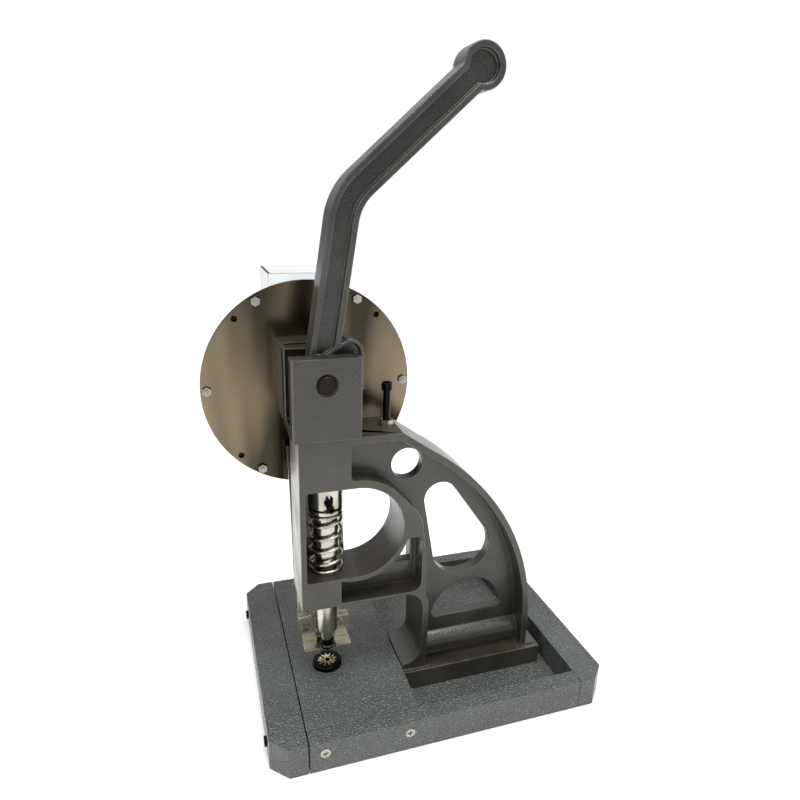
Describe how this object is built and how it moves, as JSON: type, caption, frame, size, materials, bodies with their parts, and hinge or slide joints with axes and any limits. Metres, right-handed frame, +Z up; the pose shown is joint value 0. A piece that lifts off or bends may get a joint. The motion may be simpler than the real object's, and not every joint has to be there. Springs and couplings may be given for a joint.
{
  "type": "hand lever fastener press",
  "caption": "Bench press with a bent hand lever, open cast side frame, sprung ram over a small round die, and a round drum feeder with hopper, on a flat tray base.",
  "frame": {"origin": "centre of the underside of the tray base", "axes": "+X to the operator's right, +Y to the rear, +Z up; the frame's middle plane stands 27 mm to the right of the origin"},
  "size_m": [0.2345, 0.3313, 0.539],
  "materials": {
    "casting_paint": "warm dark grey paint on cast iron, satin",
    "base_paint": "blue-grey wrinkle paint",
    "nickel_steel": "ground and nickel-plated steel",
    "drum_steel": "brushed stainless steel",
    "black_oxide": "black oxide steel",
    "pin_steel": "dark hardened steel",
    "zinc_hardware": "zinc-plated screws and nuts",
    "brass_crown": "brass",
    "clear_plastic": "clear acrylic sheet",
    "rotor_plastic": "black moulded plastic"
  },
  "bodies": {
    "press_frame": {"base_floor_plate": "base_paint", "base_front_bar": "base_paint", "base_rear_bar": "base_paint", "base_right_bar": "base_paint", "base_left_bar": "base_paint", "table_block": "base_paint", "frame_casting": "casting_paint", "clevis_block": "casting_paint", "drum_bracket": "casting_paint", "upper_bushing": "nickel_steel", "lower_bushing": "nickel_steel", "return_spring": "nickel_steel", "lower_die": "black_oxide", "die_crown": "brass_crown", "stop_screw": "black_oxide", "stop_lock_nut": "zinc_hardware", "drum_back_plate": "drum_steel", "drum_casing": "drum_steel", "drum_cover": "clear_plastic", "hopper": "clear_plastic", "feed_chute": "nickel_steel", "chute_standoffs": "zinc_hardware", "jaw_carrier": "nickel_steel", "front_jaw_screw": "zinc_hardware", "rear_jaw_screw": "zinc_hardware", "base_side_screws": "zinc_hardware", "base_front_bolts": "black_oxide", "foot_bolts": "black_oxide", "clevis_screws": "black_oxide", "drum_screws": "zinc_hardware", "drum_nuts": "zinc_hardware", "cover_screws": "zinc_hardware"},
    "lever": {"lever_handle": "casting_paint", "pivot_pin": "pin_steel", "feed_crank": "black_oxide"},
    "ram": {"ram_shaft": "nickel_steel", "punch": "black_oxide", "punch_ring": "nickel_steel", "cross_screw": "black_oxide", "spring_collar": "nickel_steel"},
    "front_finger": {"front_jaw": "nickel_steel"},
    "rear_finger": {"rear_jaw": "nickel_steel"},
    "feed_rod": {"feed_link": "black_oxide"},
    "feed_rotor": {"feed_arm": "black_oxide", "rotor_shaft": "nickel_steel", "rotor_wheel": "rotor_plastic", "rotor_knob": "rotor_plastic"}
  },
  "joints": [
    {"name": "lever_hinge", "type": "hinge", "parent": "press_frame", "child": "lever", "pos_m": [0.027, -0.091, 0.298], "axis": [1, 0, 0], "range_deg": [0, 80]},
    {"name": "ram_slide", "type": "slide", "parent": "press_frame", "child": "ram", "axis": [0, 0, -1], "range_m": [0, 0.0105], "deforming": ["return_spring"]},
    {"name": "front_jaw_hinge", "type": "hinge", "parent": "press_frame", "child": "front_finger", "pos_m": [0.027, -0.1069, 0.065], "axis": [-1, 0, 0], "range_deg": [0, 18], "stiffness_Nm_per_rad": 0.5},
    {"name": "rear_jaw_hinge", "type": "hinge", "parent": "press_frame", "child": "rear_finger", "pos_m": [0.027, -0.0758, 0.065], "axis": [1, 0, 0], "range_deg": [0, 18], "stiffness_Nm_per_rad": 0.5},
    {"name": "link_hinge", "type": "hinge", "parent": "lever", "child": "feed_rod", "pos_m": [-0.0068, -0.101, 0.298], "axis": [1, 0, 0], "range_deg": [-80, 0]},
    {"name": "rotor_hinge", "type": "hinge", "parent": "press_frame", "child": "feed_rotor", "pos_m": [-0.067, -0.0903, 0.274], "axis": [1, 0, 0], "range_deg": [0, 80]}
  ],
  "couplings": [
    {"joint": "ram_slide", "follows": "lever_hinge", "m_per_rad": 0.00752},
    {"joint": "link_hinge", "follows": "lever_hinge", "ratio": -1},
    {"joint": "rotor_hinge", "follows": "lever_hinge", "ratio": 1}
  ]
}
